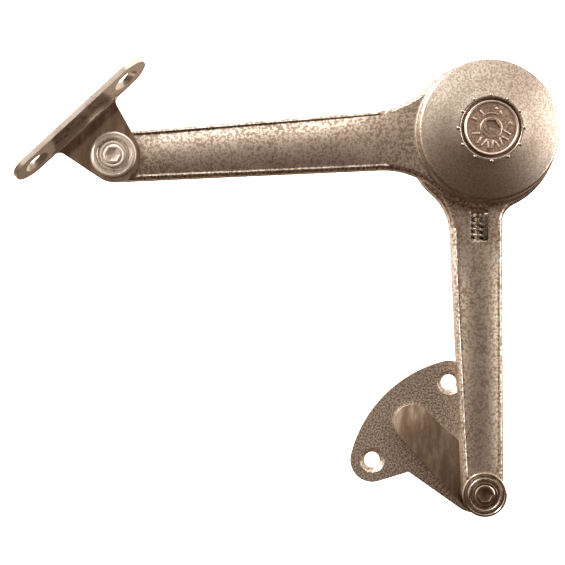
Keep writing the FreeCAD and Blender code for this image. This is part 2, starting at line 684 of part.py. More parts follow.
def hub_cover():
    base, edge, rim = UPPER_FRONT, UPPER_FRONT + COVER_EDGE_HEIGHT, UPPER_FRONT + COVER_RIM_HEIGHT
    inner_edge = COVER_EDGE_R - SHEET
    profile = [(COVER_BASE_R, base), (COVER_EDGE_R, edge - COVER_BEVEL), (COVER_EDGE_R - COVER_BEVEL, edge),
               (COVER_BORE_R + COVER_BEVEL, rim), (COVER_BORE_R, rim - COVER_LIP),
               (COVER_BORE_R, rim - SHEET + COVER_LIP), (inner_edge - COVER_LIP, edge - SHEET),
               (COVER_BASE_R - SHEET, base)]
    body = revolved(profile)
    for angle in LUG_ANGLES:
        place = polar(LUG_CIRCLE_R, angle)
        body = body.fuse(cylinder(LUG_R, base, base + LUG_HEIGHT + LUG_TOP, place))
        body = body.cut(cylinder(COVER_SCREW_R, base, base + LUG_HEIGHT - LUG_TOP, place))
    tick = block(COVER_BORE_R - TICK_LENGTH, COVER_BORE_R + TICK_LENGTH, -TICK_WIDTH / 2, TICK_WIDTH / 2,
                 rim - TICK_DEPTH, rim)
    for k in range(TICK_COUNT):
        body = body.cut(at(tick, Vector(0, 0, 0), 360 * k / TICK_COUNT))
    return body.removeSplitter()


def cover_screws():
    screws = []
    for angle in LUG_ANGLES:
        place = polar(LUG_CIRCLE_R, angle)
        low = UPPER_WEB - COVER_SCREW_HEAD
        body = cylinder(COVER_SCREW_R, UPPER_WEB, UPPER_FRONT + LUG_HEIGHT - LUG_TOP - HOUSING_CLEAR, place)
        head = cylinder(COVER_SCREW_HEAD_R, low, UPPER_WEB, place)
        head = head.cut(hexagon(COVER_SCREW_HEX, low, low + COVER_SCREW_HEX_DEPTH, place))
        screws.append(body.fuse(head).removeSplitter())
    return Part.makeCompound(screws)


def thrust_washer():
    return tube(THRUST_R, SLEEVE_R + GAP, LOWER_FRONT, UPPER_WEB - RUN)


# Flap bracket, drawn with its plate along X and the pivot at the origin

def flap_plate():
    """Plate lying on the flap: a strip with round ends that stands out from the ear towards the front."""
    middle = EAR_REAR + FLAP_WIDTH / 2
    radius = FLAP_WIDTH / 2
    half = FLAP_LENGTH / 2 - radius
    left, right = Vector(-half, middle, 0), Vector(half, middle, 0)
    outline = [arc_about(right, radius, -90, 90), line(right + Vector(0, radius, 0), left + Vector(0, radius, 0)),
               arc_about(left, radius, 90, 270), line(left - Vector(0, radius, 0), right - Vector(0, radius, 0))]
    body = prism(outline, 0, SHEET)
    for side in (-1, 1):
        hole = countersunk_hole(0, SHEET)
        hole.translate(Vector(side * HOLE_SPACING / 2, middle, 0))
        body = body.cut(hole)
    body.rotate(Vector(0, 0, 0), Vector(1, 0, 0), 90)
    body.translate(Vector(0, FLAP_FACE, 0))
    return body


def flap_bracket():
    """A round eye about the pivot, widened straight to the plate, with small hollow corners and a rounded bend."""
    foot = FLAP_FACE - SHEET
    half = EAR_WIDTH / 2
    touch = math.degrees(math.atan2(foot, half) - math.acos(EAR_EYE_R / math.hypot(half, foot)))
    side = (Vector(half, foot, 0) - polar(EAR_EYE_R, touch)).normalize()
    outward = Vector(side.y, -side.x, 0)
    hollow = foot - EAR_FILLET_R
    reach = half * outward.x + foot * outward.y + EAR_FILLET_R
    centre = Vector((reach - hollow * outward.y) / outward.x, hollow, 0)
    points = [polar(EAR_EYE_R, touch), centre - outward * EAR_FILLET_R, centre + Vector(0, EAR_FILLET_R, 0)]
    points.append(centre + (points[1] + points[2] - centre * 2).normalize() * EAR_FILLET_R)
    points.append(Vector(centre.x, FLAP_FACE, 0))
    outline = [arc_about(Vector(0, 0, 0), EAR_EYE_R, 180 - touch, 360 + touch)]
    for mirror in (1, -1):
        start, low, high, middle, top = [Vector(mirror * p.x, p.y, 0) for p in points]
        outline += [line(start, low), arc(low, middle, high), line(high, top)]
    outline.append(line(points[4], Vector(-centre.x, FLAP_FACE, 0)))
    body = prism(outline, EAR_REAR, EAR_FRONT).fuse(flap_plate())
    half = centre.x
    square = block(-half, half, foot - EAR_BEND_R, foot, EAR_FRONT, EAR_FRONT + EAR_BEND_R)
    round_cut = Part.makeCylinder(EAR_BEND_R, 2 * half, Vector(-half, foot - EAR_BEND_R, EAR_FRONT + EAR_BEND_R),
                                  Vector(1, 0, 0))
    square = square.common(prism(outline, EAR_FRONT, EAR_FRONT + EAR_BEND_R))
    body = body.fuse(square.cut(round_cut)).cut(cylinder(POST_R, EAR_REAR, EAR_FRONT))
    return at(body.removeSplitter(), FLAP_PIVOT, FLAP_ANGLE)


os.makedirs("parts", exist_ok=True)

save("cabinet_bracket", cabinet_bracket())
save("lower_arm", lower_arm())
save("upper_arm", upper_arm())
save("flap_bracket", flap_bracket())

make_pivot("cabinet_pivot", CABINET_PIVOT, (SEAT_HEIGHT - SHEET - TAIL_THICK, SEAT_HEIGHT - SHEET, TAIL_R),
           LOWER_FRONT + RUN, (LOWER_REAR, LOWER_FRONT), SEAT_HEIGHT)
make_pivot("flap_pivot", FLAP_PIVOT, (FLAP_TAIL_FRONT - TAIL_THICK, FLAP_TAIL_FRONT, BUSH_R),
           EAR_FRONT, (FLAP_TAIL_FRONT + RUN, UPPER_FRONT), UPPER_FRONT)

HUB_PARTS = {
    "cam_disc": cam_disc(),
    "cam_follower": cam_follower(),
    "spring_guide_rod": spring_guide_rod(),
    "closing_spring": closing_spring(),
    "spring_housing": spring_housing(),
    "spring_stop": spring_stop(),
    "spring_stop_pin": spring_stop_pin(),
    "hub_rear_plate": hub_rear_plate(),
    "hub_rear_cap": hub_rear_cap(),
    "hub_rivets": hub_rivets(),
    "hub_axle": hub_axle(),
    "hub_bush": tube(hub_bush_r(), AXLE_R + RUN, CAM_REAR, UPPER_FRONT),
    "thrust_washer": thrust_washer(),
    "rear_friction_lining": friction_lining(0),
    "friction_plate": friction_plate(),
    "front_friction_lining": friction_lining(2),
    "cover_plate": cover_plate(),
    "rear_disc_spring": disc_spring(4, True),
    "front_disc_spring": disc_spring(5, False),
    "pressure_nut": pressure_nut(),
    "adjusting_dial": adjusting_dial(),
    "hub_cover": hub_cover(),
    "cover_screws": cover_screws(),
}
for name, shape in HUB_PARTS.items():
    save(name, at(shape, HUB))
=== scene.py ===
"""Looks of a folding flap stay: two nickel-plated arms on a friction hub, a bracket at each end.

Metres, in the frame of the CAD model: +X to the right, +Y into the cabinet side, +Z up. The pieces that
show are finished here, with rounded edges and plated surfaces, and each rides on the body it belongs to.
"""

import json
import math

import bmesh
import bpy
from mathutils import Matrix, Vector

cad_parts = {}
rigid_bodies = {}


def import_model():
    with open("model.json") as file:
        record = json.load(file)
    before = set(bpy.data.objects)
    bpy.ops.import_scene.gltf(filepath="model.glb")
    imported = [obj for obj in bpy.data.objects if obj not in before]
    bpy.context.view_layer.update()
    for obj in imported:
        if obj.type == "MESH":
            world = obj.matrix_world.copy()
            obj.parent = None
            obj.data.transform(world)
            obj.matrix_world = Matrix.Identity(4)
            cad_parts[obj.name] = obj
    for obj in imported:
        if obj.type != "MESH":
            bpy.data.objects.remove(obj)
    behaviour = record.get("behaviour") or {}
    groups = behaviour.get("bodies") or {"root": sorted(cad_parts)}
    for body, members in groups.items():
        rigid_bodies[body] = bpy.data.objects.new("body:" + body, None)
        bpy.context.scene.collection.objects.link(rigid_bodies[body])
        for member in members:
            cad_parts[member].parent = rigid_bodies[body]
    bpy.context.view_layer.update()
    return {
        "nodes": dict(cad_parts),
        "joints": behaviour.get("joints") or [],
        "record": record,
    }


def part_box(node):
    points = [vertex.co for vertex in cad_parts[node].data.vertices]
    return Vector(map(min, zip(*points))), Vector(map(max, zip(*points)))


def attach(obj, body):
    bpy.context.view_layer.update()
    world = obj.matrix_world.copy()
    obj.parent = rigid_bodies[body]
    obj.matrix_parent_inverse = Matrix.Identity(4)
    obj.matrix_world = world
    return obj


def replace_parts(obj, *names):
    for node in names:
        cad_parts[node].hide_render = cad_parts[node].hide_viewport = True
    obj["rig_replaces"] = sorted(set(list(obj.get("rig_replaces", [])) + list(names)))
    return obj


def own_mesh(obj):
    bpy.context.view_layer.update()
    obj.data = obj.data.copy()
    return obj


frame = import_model()

MM = 0.001
MM_PER_METRE = 1000
JOINTS = {joint["name"]: joint for joint in frame["joints"]}
HUB = Vector(JOINTS["hub_pivot"]["pos_m"])
CABINET_PIVOT = Vector(JOINTS["cabinet_pivot"]["pos_m"])
FLAP_PIVOT = Vector(JOINTS["flap_pivot"]["pos_m"])
BODY_OF = {node: body for body, nodes in frame["record"]["behaviour"]["bodies"].items() for node in nodes}
SLOT_OF = {part["node"]: part["material_slot"] for part in frame["record"]["subparts"]}

# Heights over the cabinet side, in millimetres
BRACKET_PLATE = 1.6
COVER_BASE = 20.5
COVER_EDGE = COVER_BASE + 5.0
COVER_RIM = COVER_BASE + 7.2
DIAL_FACE = COVER_RIM + 0.3
DIAL_PAN = DIAL_FACE - 0.4

# Where one finish gives way to the next: up the frame between the two brackets, in metres, and over the
# cabinet side at the foot of the cabinet bracket's rib and under the flap pivot's head, in millimetres
BETWEEN_BRACKETS = (0.03, 0.04)
RIB_FOOT = (1.7, 2.3)
# Beyond UNDER_FLAP_HEAD the flap pivot's head gets a painted highlight as well as a rougher finish
UNDER_FLAP_HEAD = (22.35, 22.5)
OVER_RIB_FOOT = 10


# Shader building

class Value:
    """A number socket that can be used in Python arithmetic."""

    def __init__(self, finish, socket):
        self.finish = finish
        self.socket = socket

    def maths(self, operation, first, second):
        return self.finish.node("ShaderNodeMath", {"operation": operation}, {0: first, 1: second})

    def __add__(self, other):
        return self.maths("ADD", self, other)

    def __rsub__(self, other):
        return self.maths("SUBTRACT", other, self)

    def __mul__(self, other):
        return self.maths("MULTIPLY", self, other)


class Finish:
    """A material with one Principled shader and the nodes that feed it."""

    def __init__(self, name, **constants):
        self.material = bpy.data.materials.new(name)
        self.material.use_nodes = True
        self.tree = self.material.node_tree
        self.shader = self.tree.nodes["Principled BSDF"]
        for socket, value in constants.items():
            self.shader.inputs[socket.replace("_", " ")].default_value = value

    def node(self, kind, settings=None, inputs=None, output=0):
        made = self.tree.nodes.new(kind)
        for setting, value in (settings or {}).items():
            setattr(made, setting, value)
        for socket, value in (inputs or {}).items():
            self.feed(made.inputs[socket], value)
        return Value(self, made.outputs[output])

    def feed(self, socket, value):
        if isinstance(value, Value):
            self.tree.links.new(value.socket, socket)
        else:
            socket.default_value = value

    def place(self, centre=(0, 0, 0), turn=(0, 0, 0), scale=(1, 1, 1)):
        """Object coordinates about a centre, turned and scaled."""
        found = self.node("ShaderNodeTexCoord", output="Object")
        moved = self.node("ShaderNodeMapping", {"vector_type": "POINT"},
                          {"Vector": found, "Location": [-c for c in centre]})
        return self.node("ShaderNodeMapping", {"vector_type": "POINT"},
                         {"Vector": moved, "Rotation": turn, "Scale": scale})

    def noise(self, where, size, detail, rough=0.5):
        """Noise from 0 to 1 whose blotches are about `size` metres across."""
        return self.node("ShaderNodeTexNoise", {"noise_dimensions": "3D"},
                         {"Vector": where, "Scale": 1.0 / size, "Detail": detail, "Roughness": rough},
                         output="Fac")

    def spread(self, value, low, high, to_low=0.0, to_high=1.0):
        """Maps the range low to high onto to_low to to_high, smoothly and clamped."""
        return self.node("ShaderNodeMapRange", {"interpolation_type": "SMOOTHSTEP"},
                         {0: value, 1: low, 2: high, 3: to_low, 4: to_high})

    def mix(self, factor, first, second):
        return self.node("ShaderNodeMix", {"data_type": "RGBA"}, {0: factor, 6: first, 7: second},
                         output=2)

    def bump(self, height, depth, strength):
        """Bump whose full height is `depth` metres."""
        return self.node("ShaderNodeBump", {},
                         {"Height": height, "Distance": depth, "Strength": strength})

    def set(self, **inputs):
        for socket, value in inputs.items():
            self.feed(self.shader.inputs[socket.replace("_", " ")], value)
        return self.material


def rgb(red, green, blue):
    return (red, green, blue, 1.0)


def pearl_nickel():
    """Satin pearl plating on the pressed arms: a dense two-tone grain over slow, cloudy patches."""
    f = Finish("pearl_nickel", Metallic=1.0)
    where = f.place()
    grain = f.noise(where, 0.75 * MM, 2.0, 0.55)
    fine = f.noise(where, 0.3 * MM, 2.0, 0.5)
    cloud = f.noise(where, 9 * MM, 3.0, 0.55)
    mottle = f.spread(grain * 0.75 + fine * 0.25, 0.42, 0.58)
    tone = mottle * 0.8 + f.spread(cloud, 0.3, 0.7) * 0.2
    colour = f.mix(tone, rgb(0.28, 0.195, 0.14), rgb(0.93, 0.84, 0.74))
    rough = f.spread(grain, 0.35, 0.65, 0.42, 0.30)
    relief = grain * 0.5 + cloud * 0.7
    return f.set(Base_Color=colour, Roughness=rough, Normal=f.bump(relief, 0.05 * MM, 0.5))


def bright_nickel():
    """Bright plating, slightly wavy, with faint smears: grainy on the cabinet bracket's plate, polished
    above it and on the flap bracket, and a painted highlight makes the flap pivot's head palest."""
    f = Finish("bright_nickel", Metallic=1.0)
    where = f.place()
    wave = f.noise(where, 7 * MM, 2.0, 0.4)
    smear = f.noise(f.place(turn=(0, 0.6, 0), scale=(1, 1, 0.2)), 2.2 * MM, 4.0, 0.6)
    fine = f.noise(where, 0.5 * MM, 2.0, 0.6)
    off_wood = f.node("ShaderNodeSeparateXYZ", inputs={0: where}, output="Y") * -MM_PER_METRE
    on_flap = f.spread(f.node("ShaderNodeSeparateXYZ", inputs={0: where}, output="Z"), *BETWEEN_BRACKETS)
    proud = f.spread(off_wood + on_flap * OVER_RIB_FOOT, *RIB_FOOT)
    grainy = f.mix(f.spread(fine, 0.42, 0.58), rgb(0.40, 0.30, 0.225), rgb(0.92, 0.84, 0.75))
    smooth = f.mix(f.spread(smear, 0.35, 0.7), rgb(0.42, 0.34, 0.28), rgb(0.68, 0.60, 0.53))
    sheen = f.spread(smear, 0.3, 0.75, 0.07, 0.15) + f.spread(fine, 0.3, 0.7, 0.0, 0.05)
    # Painted highlight: the flap pivot's head is coloured far paler than the same head at the cabinet pivot
    flap_head = f.spread(off_wood * on_flap, *UNDER_FLAP_HEAD)
    polished_and_head_highlight = f.mix(flap_head, smooth, rgb(0.93, 0.86, 0.79))
    rough = sheen * proud + (1 - proud) * 0.4 + flap_head * 0.18
    return f.set(Base_Color=f.mix(proud, grainy, polished_and_head_highlight), Roughness=rough,
                 Normal=f.bump(wave * 0.7 + fine * 0.06, 0.2 * MM, 0.4))


def cover_nickel():
    """Satin nickel turned on a lathe: faint rings about the hub's axis."""
    f = Finish("cover_nickel", Metallic=1.0)
    where = f.place(centre=HUB)
    flat = f.node("ShaderNodeVectorMath", {"operation": "MULTIPLY"}, {0: where, 1: (1, 0, 1)})
    radius = f.node("ShaderNodeVectorMath", {"operation": "LENGTH"}, {0: flat}, output="Value")
    ring_width = 0.35 * MM
    rings = f.node("ShaderNodeTexNoise", {"noise_dimensions": "1D"},
                   {"W": radius * (1 / ring_width), "Scale": 1.0, "Detail": 3.0, "Roughness": 0.6},
                   output="Fac")
    grain = f.noise(where, 0.5 * MM, 3.0, 0.6)
    cloud = f.noise(where, 8 * MM, 3.0, 0.5)
    tone = f.spread(grain, 0.42, 0.58) * 0.65 + f.spread(cloud, 0.3, 0.7) * 0.15 + rings * 0.2
    colour = f.mix(tone, rgb(0.29, 0.22, 0.165), rgb(0.66, 0.59, 0.52))
    rough = f.spread(grain, 0.3, 0.7, 0.36, 0.26)
    return f.set(Base_Color=colour, Roughness=rough, Normal=f.bump(rings, 0.012 * MM, 0.5))


def dial_bronze():
    """Pinkish bronze of the adjusting dial, paler on what stands proud and darker in the recessed pan."""
    f = Finish("dial_bronze", Metallic=1.0)
    where = f.place(centre=HUB)
    grain = f.noise(where, 0.4 * MM, 4.0, 0.6)
    patch = f.noise(where, 2.4 * MM, 3.0, 0.6)
    depth = f.node("ShaderNodeSeparateXYZ", inputs={0: f.place()}, output="Y")
    proud = f.spread(depth * -MM_PER_METRE, DIAL_PAN + 0.08, DIAL_PAN + 0.3)
    bronze = f.mix(f.spread(patch, 0.35, 0.65) * 0.6 + f.spread(grain, 0.4, 0.6) * 0.4,
                   rgb(0.30, 0.205, 0.155), rgb(0.56, 0.43, 0.35))
    colour = f.mix(proud, bronze, rgb(0.80, 0.69, 0.60))
    rough = f.spread(grain, 0.3, 0.7, 0.30, 0.46)
    return f.set(Base_Color=colour, Roughness=rough, Normal=f.bump(grain, 0.03 * MM, 0.5))


def plain_steel():
    """Turned and ground steel of the inner parts."""
    f = Finish("plain_steel", Metallic=1.0)
    where = f.place(scale=(1, 6, 1))
    grain = f.noise(where, 0.8 * MM, 4.0, 0.6)
    colour = f.mix(f.spread(grain, 0.3, 0.7), rgb(0.46, 0.385, 0.32), rgb(0.74, 0.65, 0.56))
    return f.set(Base_Color=colour, Roughness=f.spread(grain, 0.3, 0.7, 0.22, 0.38),
                 Normal=f.bump(grain, 0.03 * MM, 0.5))


def spring_steel():
    """Drawn spring wire with a faint oily bloom."""
    f = Finish("spring_steel", Metallic=1.0)
    where = f.place()
    grain = f.noise(where, 0.4 * MM, 3.0, 0.6)
    bloom = f.noise(where, 3 * MM, 2.0, 0.5)
    colour = f.mix(f.spread(bloom, 0.3, 0.7), rgb(0.62, 0.54, 0.46), rgb(0.90, 0.82, 0.73))
    return f.set(Base_Color=colour, Roughness=f.spread(grain, 0.3, 0.7, 0.22, 0.36),
                 Normal=f.bump(grain, 0.02 * MM, 0.5))


def acetal():
    """Moulded acetal, coloured dull brown instead of its own off-white as painted shade for the shaded
    housing wall, with a soft sheen.
    """
    f = Finish("acetal")
    where = f.place()
    grain = f.noise(where, 0.6 * MM, 3.0, 0.5)
    # Painted shade: the whole acetal is coloured dark brown to stand for the shade over the housing wall
    colour = f.mix(f.spread(grain, 0.3, 0.7), rgb(0.40, 0.35, 0.29), rgb(0.66, 0.61, 0.53))
    return f.set(Base_Color=colour, Roughness=f.spread(grain, 0.3, 0.7, 0.40, 0.55),
                 Normal=f.bump(grain, 0.02 * MM, 0.4))


def friction_lining():
    """Pressed fibre lining, brown with pale fibres."""
    f = Finish("friction_lining")
    fibre = f.noise(f.place(turn=(0, 0.5, 0), scale=(1, 1, 0.25)), 0.5 * MM, 4.0, 0.7)
    colour = f.mix(f.spread(fibre, 0.4, 0.7), rgb(0.075, 0.055, 0.042), rgb(0.24, 0.19, 0.14))
    return f.set(Base_Color=colour, Roughness=f.spread(fibre, 0.3, 0.7, 0.7, 0.9),
                 Normal=f.bump(fibre, 0.06 * MM, 0.6))


MATERIALS = {
    "pearl_nickel": pearl_nickel(),
    "bright_nickel": bright_nickel(),
    "cover_nickel": cover_nickel(),
    "dial_bronze": dial_bronze(),
    "steel": plain_steel(),
    "spring_steel": spring_steel(),
    "polymer": acetal(),
    "lining": friction_lining(),
}


# Pieces

SMOOTH_UNDER = math.radians(32)


def smooth_mesh(name, shape):
    """A finished bmesh becomes a mesh whose faces are shaded smooth."""
    mesh = bpy.data.meshes.new(name)
    shape.to_mesh(mesh)
    shape.free()
    mesh.polygons.foreach_set("use_smooth", [True] * len(mesh.polygons))
    return mesh


def add_piece(name, shape, slot, body):
    """A finished bmesh becomes a piece that rides on a body."""
    mesh = smooth_mesh(name, shape)
    mesh.set_sharp_from_angle(angle=SMOOTH_UNDER)
    mesh.materials.append(MATERIALS[slot])
    piece = bpy.data.objects.new(name, mesh)
    bpy.context.scene.collection.objects.link(piece)
    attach(piece, body)
    return piece


def stand_in(node, shape):
    """The shape is shown in place of a CAD node."""
    piece = add_piece("finished_" + node, shape, SLOT_OF[node], BODY_OF[node])
    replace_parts(piece, node)
    return piece


def even_normals(piece):
    """Keeps flat faces evenly lit up to the rounded edges beside them."""
    modifier = piece.modifiers.new("even_normals", "WEIGHTED_NORMAL")
    modifier.mode = "FACE_AREA"
    modifier.weight = 50
    modifier.keep_sharp = True


def sharp_edges(shape, over=math.radians(35)):
    return [e for e in shape.edges if len(e.link_faces) == 2 and e.calc_face_angle(0) > over]


def round_edges(shape, edges, radius, segments=2):
    bmesh.ops.bevel(shape, geom=edges, offset=radius, offset_type="OFFSET", segments=segments,
                    profile=0.5, affect="EDGES", clamp_overlap=True, material=-1)


def cad_copy(node):
    """The node's own solid, its triangles merged into whole faces."""
    shape = bmesh.new()
    shape.from_mesh(frame["nodes"][node].data)
    bmesh.ops.remove_doubles(shape, verts=shape.verts, dist=0.0005 * MM)
    bmesh.ops.dissolve_limit(shape, angle_limit=math.radians(0.4), verts=shape.verts, edges=shape.edges)
    return shape


def edged_copy(node, radius):
    shape = cad_copy(node)
    round_edges(shape, sharp_edges(shape), radius * MM)
    bmesh.ops.recalc_face_normals(shape, faces=shape.faces)
    return shape


# Turned pieces are drawn flat in millimetres, with heights along Z, then stood up about their own axis

def stand(shape, axis):
    turn = Matrix.Rotation(math.radians(90), 4, "X")
    shape.transform(Matrix.Translation((axis.x, 0, axis.z)) @ turn @ Matrix.Scale(MM, 4))
    return shape


def turned(profile, steps=72, closed=True):
    """A profile of (radius, height) points turned a full circle."""
    shape = bmesh.new()
    verts = [shape.verts.new((radius, 0, height)) for radius, height in profile]
    pairs = list(zip(verts, verts[1:])) + ([(verts[-1], verts[0])] if closed else [])
    edges = [shape.edges.new(pair) for pair in pairs]
    bmesh.ops.spin(shape, geom=verts + edges, cent=(0, 0, 0), axis=(0, 0, 1), angle=math.tau,
                   steps=steps, use_merge=True)
    bmesh.ops.remove_doubles(shape, verts=shape.verts, dist=0.001)
    bmesh.ops.recalc_face_normals(shape, faces=shape.faces)
    return shape


def sink_hexagon(shape, across):
    """Pushes the round wall of a socket out to a hexagon of that width across its flats."""
    sixth = math.radians(60)
    for vert in shape.verts:
        if abs(math.hypot(vert.co.x, vert.co.y) - across / 2) < 0.01:
            off_flat = math.atan2(vert.co.y, vert.co.x) % sixth - sixth / 2
            vert.co.x /= math.cos(off_flat)
            vert.co.y /= math.cos(off_flat)


def verts_in(geom):
    return [v for v in geom if isinstance(v, bmesh.types.BMVert)]


def press_in(shape, faces, depth):
    """Walls and a floor below the faces, as one region; the faces themselves stay and close it over."""
    region = bmesh.ops.extrude_face_region(shape, geom=faces)["geom"]
    bmesh.ops.translate(shape, verts=verts_in(region), vec=(0, 0, -depth))


def round_at(radius, bearing, height):
    """The point at a radius and a bearing in degrees about the turning axis."""
    angle = math.radians(bearing)
    return Vector((radius * math.cos(angle), radius * math.sin(angle), height))


def radius_of(face):
    centre = face.calc_center_median()
    return math.hypot(centre.x, centre.y)


def bearing_of(face):
    centre = face.calc_center_median()
    return math.degrees(math.atan2(centre.y, centre.x))


# Arms: the pressed web is a little crowned across its width, except near the pivot and the hub

ARM_EDGE = 0.12
ARM_ROUNDING = 1.5
CROWN_LIMIT = 1.3
HALF_WIDTH = 9
FLAT_AT_PIVOT, FADE_AT_PIVOT = 3, 5
FLAT_AT_HUB, FADE_AT_HUB = 19, 22


def crowned_arm(node, pivot, bend_radius):
    shape = cad_copy(node)
    bmesh.ops.recalc_face_normals(shape, faces=shape.faces)
    round_edges(shape, sharp_edges(shape), ARM_EDGE * MM)
    front = min(v.co.y for v in shape.verts)
    along = (HUB - pivot).normalized()
    along.y = 0
    across = Vector((-along.z, 0, along.x))
    flat = 0.02 * MM

    def cut(place, normal):
        faces = [f for f in shape.faces if all(v.co.y < front + flat for v in f.verts)]
        geom = list({v for f in faces for v in f.verts} | {e for f in faces for e in f.edges}) + faces
        bmesh.ops.bisect_plane(shape, geom=geom, plane_co=place, plane_no=normal, dist=1e-7)

    length = (HUB - pivot).length / MM
    for offset in range(-HALF_WIDTH, HALF_WIDTH + 1):
        cut(pivot + across * (offset * MM), across)
    for reach in range(2, int(length) - FLAT_AT_HUB + 1, 4):
        cut(pivot + along * (reach * MM), along)
    rounding = ARM_ROUNDING * MM
    for vert in shape.verts:
        up = (front + rounding - vert.co.y) / rounding
        if up <= 0:
            continue
        away = vert.co - pivot
        offset = away.dot(across) / MM
        reach = away.dot(along) / MM
        near_pivot = min(1, max(0, (reach - FLAT_AT_PIVOT) / FADE_AT_PIVOT))
        near_hub = min(1, max(0, (length - FLAT_AT_HUB - reach) / FADE_AT_HUB))
        drop = near_pivot * near_hub * min(offset ** 2 / (2 * bend_radius), CROWN_LIMIT)
        vert.co.y += drop * MM * min(1, up)
    return shape


for node, pivot, bend_radius in (("lower_arm", CABINET_PIVOT, 17.0), ("upper_arm", FLAP_PIVOT, 22.0)):
    even_normals(stand_in(node, crowned_arm(node, pivot, bend_radius)))


# Cabinet bracket: the rib's upper edge is drawn round, the plate's edges are only broken

RIB_ROUNDING = 1.5
BRACKET_EDGE = 0.2
POST_HOLE_R = 3.2


def pressed_bracket():
    shape = cad_copy("cabinet_bracket")
    bmesh.ops.recalc_face_normals(shape, faces=shape.faces)
    plate = -BRACKET_PLATE * MM
    post_hole = POST_HOLE_R * MM

    def is_rib(edge):
        away = [v.co - CABINET_PIVOT for v in edge.verts]
        on_top = all(v.co.y < plate for v in edge.verts)
        return on_top and all(math.hypot(a.x, a.z) > post_hole for a in away)

    sharp = sharp_edges(shape, math.radians(20))
    outside = [e for e in sharp if is_rib(e) and e.is_convex]
    round_edges(shape, outside, RIB_ROUNDING * MM, 6)
    sharp = [e for e in sharp_edges(shape) if e.is_convex]
    round_edges(shape, sharp, BRACKET_EDGE * MM)
    bmesh.ops.recalc_face_normals(shape, faces=shape.faces)
    return shape


even_normals(stand_in("cabinet_bracket", pressed_bracket()))

EDGE_RADII = {
    "flap_bracket": 0.25,
    "hub_rear_plate": 0.15,
    "hub_rear_cap": 0.2,
    "spring_housing": 0.15,
    "hub_rivets": 0.15,
    "cam_follower": 0.2,
    "spring_guide_rod": 0.15,
}
for node, radius in EDGE_RADII.items():
    even_normals(stand_in(node, edged_copy(node, radius)))


# Arm pivots: a dished head with a spinning ring and a socket screw in it

POST_R, SHANK_R = 2.4, 1.5
HEAD_R, HEAD_THICK, RECESS = 6.2, 0.95, 0.6
RING_IN, RING_OUT, RING_PROUD = 4.15, 4.7, 0.1
SCREW_R, SCREW_PROUD, SCREW_SOCKET = 3.65, 0.2, 3.6
NOTCH_IN, NOTCH_DEPTH, NOTCH_HALF_ANGLE = 2.8, 0.3, 7
TAIL_THICK = 1.0


def pivot_post(front, tail_low, tail_high, tail_r):
    low = front - HEAD_THICK
    profile = [(SHANK_R, tail_low), (tail_r, tail_low), (tail_r, tail_high), (POST_R, tail_high),
               (POST_R, low), (HEAD_R, low), (HEAD_R, front - 0.35), (HEAD_R - 0.1, front - 0.12),
               (HEAD_R - 0.35, front), (5.55, front), (5.4, front - 0.12), (5.3, front - 0.25),
               (5.02, front - 0.25), (4.95, front - 0.1), (4.85, front), (RING_OUT, front),
               (RING_OUT, front - RECESS), (SHANK_R, front - RECESS)]
    return turned(profile)


def pivot_ring(front):
    low, top = front - RECESS, front + RING_PROUD
    return turned([(RING_IN, low), (RING_OUT, low), (RING_OUT, top - 0.1), (RING_OUT - 0.1, top),
                   (RING_IN + 0.12, top), (RING_IN, top - 0.12)])


def pivot_screw(front, tail_low):
    top = front + SCREW_PROUD
    profile = [(0, tail_low), (SHANK_R, tail_low), (SHANK_R, front - RECESS), (SCREW_R, front - RECESS),
               (SCREW_R, top - 0.3), (SCREW_R - 0.15, top - 0.08), (SCREW_R - 0.3, top - 0.02),
               (2.75, top - 0.12), (2.55, top), (SCREW_SOCKET / 2, top), (SCREW_SOCKET / 2, top - 0.5),
               (0, top - 0.8)]
    shape = turned(profile, steps=60, closed=False)
    sink_hexagon(shape, SCREW_SOCKET)

    def in_notch(face):
        on_rim = NOTCH_IN < radius_of(face) < SCREW_R + 0.1 and face.calc_center_median().z > top - 0.25
        return on_rim and abs(abs(bearing_of(face)) - 90) < NOTCH_HALF_ANGLE

    press_in(shape, [f for f in shape.faces if in_notch(f)], NOTCH_DEPTH)
    return shape


for name, pivot, tail_r in (("cabinet_pivot", CABINET_PIVOT, 4.4), ("flap_pivot", FLAP_PIVOT, 3.7)):
    low_corner, high_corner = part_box(name + "_post")
    front, tail_low = -low_corner.y / MM, -high_corner.y / MM
    stand_in(name + "_post", stand(pivot_post(front, tail_low, tail_low + TAIL_THICK, tail_r), pivot))
    stand_in(name + "_ring", stand(pivot_ring(front), pivot))
    stand_in(name + "_screw", stand(pivot_screw(front, tail_low), pivot))


# Hub cover: a turned dish with a stepped wall, twelve stops round the dial and three lugs under it

STOPS, STOP_CIRCLE, STOP_R = 12, 8.75, 0.55
LUG_CIRCLE, LUG_R, LUG_LENGTH = 15.4, 2.2, 3.6


